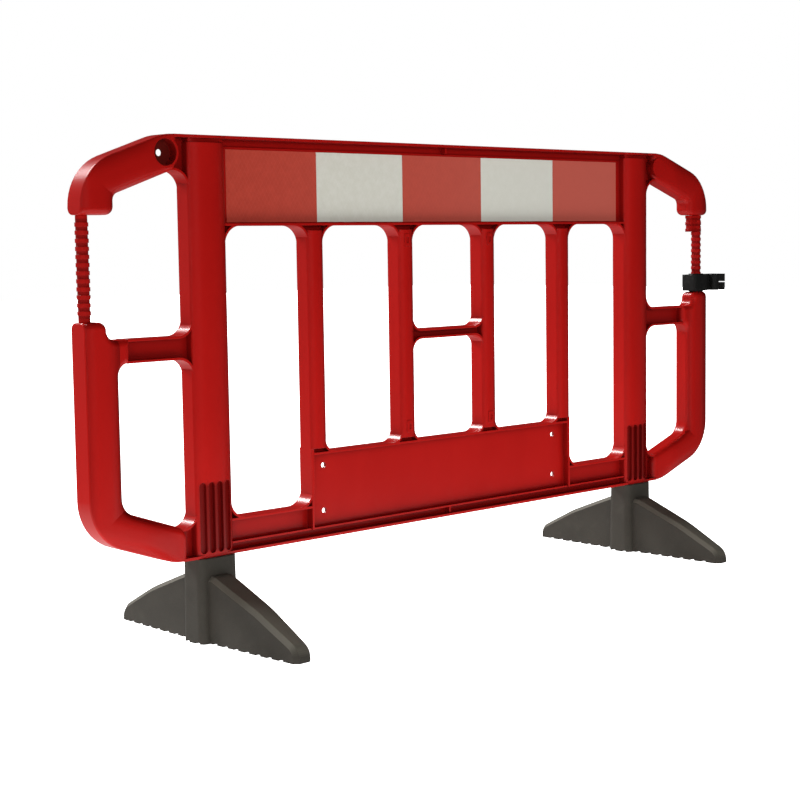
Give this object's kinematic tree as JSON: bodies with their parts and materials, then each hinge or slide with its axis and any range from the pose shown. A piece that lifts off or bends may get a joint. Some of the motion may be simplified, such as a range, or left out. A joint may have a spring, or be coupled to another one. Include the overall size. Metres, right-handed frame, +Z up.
{
  "type": "road barrier",
  "caption": "Red plastic road barrier panel with open bays, a red and white reflective band, ribbed end rods, a swivel connector clip and turning dark feet.",
  "frame": {"origin": "on the ground, under the middle of the panel's length and of its thickness", "axes": "+X along the barrier towards the clip, +Y through it towards the back, +Z up"},
  "size_m": [2.09, 0.6, 1.044],
  "materials": {
    "red_plastic": "satin",
    "foot_plastic": "matte",
    "pin_steel": "satin",
    "black_plastic": "satin",
    "red_sheet": "satin",
    "white_sheet": "satin"
  },
  "bodies": {
    "frame": {"panel": "red_plastic", "left_end_rod": "red_plastic", "right_end_rod": "red_plastic", "left_foot_pin_1": "pin_steel", "left_foot_pin_2": "pin_steel", "right_foot_pin_1": "pin_steel", "right_foot_pin_2": "pin_steel", "front_sheet_1": "red_sheet", "front_sheet_2": "white_sheet", "front_sheet_3": "red_sheet", "front_sheet_4": "white_sheet", "front_sheet_5": "red_sheet", "back_sheet_1": "red_sheet", "back_sheet_2": "white_sheet", "back_sheet_3": "red_sheet", "back_sheet_4": "white_sheet", "back_sheet_5": "red_sheet"},
    "left_foot": {"left_foot": "foot_plastic"},
    "right_foot": {"right_foot": "foot_plastic"},
    "sleeve": {"clip_sleeve": "black_plastic"},
    "clip": {"connector_clip": "black_plastic"}
  },
  "joints": [
    {"name": "left_foot_swivel", "type": "hinge", "parent": "frame", "child": "left_foot", "pos_m": [-0.696, 0, 0.178], "axis": [0, 0, 1], "range_deg": [-90, 90]},
    {"name": "right_foot_swivel", "type": "hinge", "parent": "frame", "child": "right_foot", "pos_m": [0.696, 0, 0.178], "axis": [0, 0, 1], "range_deg": [-90, 90]},
    {"name": "clip_slide", "type": "slide", "parent": "frame", "child": "sleeve", "axis": [0, 0, 1], "range_m": [0, 0.1125]},
    {"name": "clip_swivel", "type": "hinge", "parent": "sleeve", "child": "clip", "pos_m": [0.984, 0, 0.6996], "axis": [0, 0, 1], "continuous": true}
  ]
}
